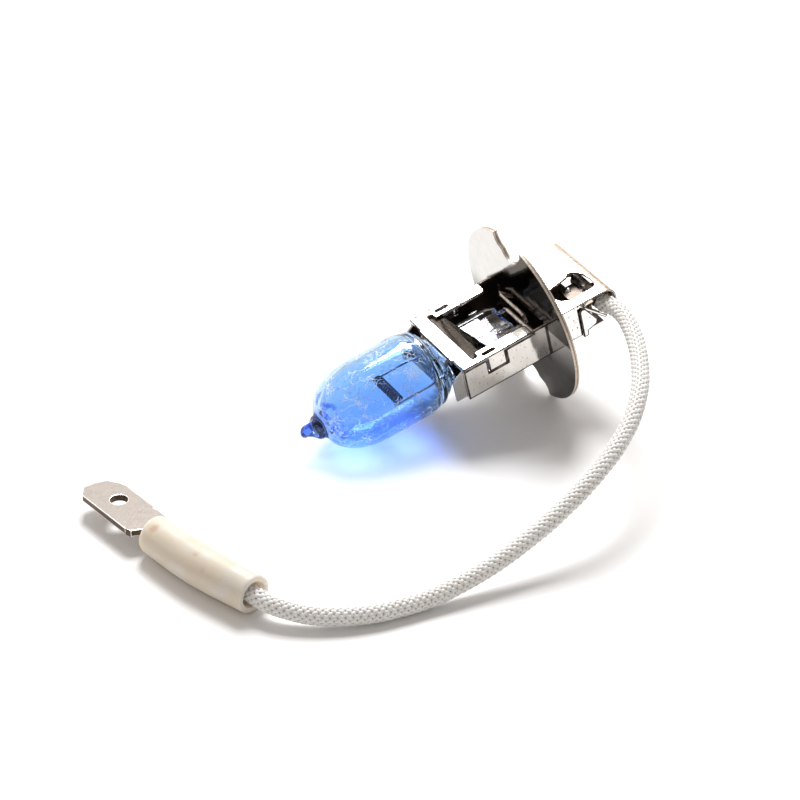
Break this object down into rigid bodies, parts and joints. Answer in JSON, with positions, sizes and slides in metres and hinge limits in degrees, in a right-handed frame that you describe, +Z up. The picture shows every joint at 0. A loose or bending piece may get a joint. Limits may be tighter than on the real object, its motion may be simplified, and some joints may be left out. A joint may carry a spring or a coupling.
{
  "type": "headlight bulb",
  "caption": "Halogen headlight bulb with a blue-tinted glass, a notched round prefocus flange and a short braided lead that ends in a sleeved flat push-on blade.",
  "frame": {"origin": "on the table top, below the middle of the bulb's own box (the lead and its terminal left out)", "axes": "+Z up from the table, +X along the lying bulb from the glass tip towards the rear cap, +Y away from the lead's loop"},
  "size_m": [0.0644, 0.0436, 0.021],
  "materials": {
    "blue_glass": "clear coloured glass",
    "tungsten": "dark drawn wire",
    "lead_wire": "drawn wire",
    "seal_foil": "rolled foil",
    "ceramic": "matt white",
    "plated_steel": "bright nickel plate",
    "flange_steel": "bright nickel plate with bare cut edges",
    "terminal_nickel": "dull nickel plate",
    "copper_strand": "bare stranded wire",
    "glass_braid": "woven glass-fibre braid",
    "silicone": "translucent cream silicone"
  },
  "bodies": {
    "root": {"glass_envelope": "blue_glass", "filament_coil": "tungsten", "inner_lead_near": "lead_wire", "inner_lead_far": "lead_wire", "foil_near": "seal_foil", "foil_far": "seal_foil", "outer_lead_live": "lead_wire", "outer_lead_ground": "lead_wire", "lead_insulator": "ceramic", "holder_tray": "plated_steel", "window_plate": "plated_steel", "pinch_cradle": "plated_steel", "base_flange": "flange_steel", "rear_cap": "plated_steel", "rear_tray": "plated_steel", "cord_clamp": "plated_steel", "clamp_rivets": "plated_steel", "splice_ferrule": "terminal_nickel", "conductor_bulb_end": "copper_strand", "cord": "glass_braid", "conductor_terminal_end": "copper_strand", "terminal_blade": "terminal_nickel", "terminal_sleeve": "silicone"}
  },
  "joints": []
}
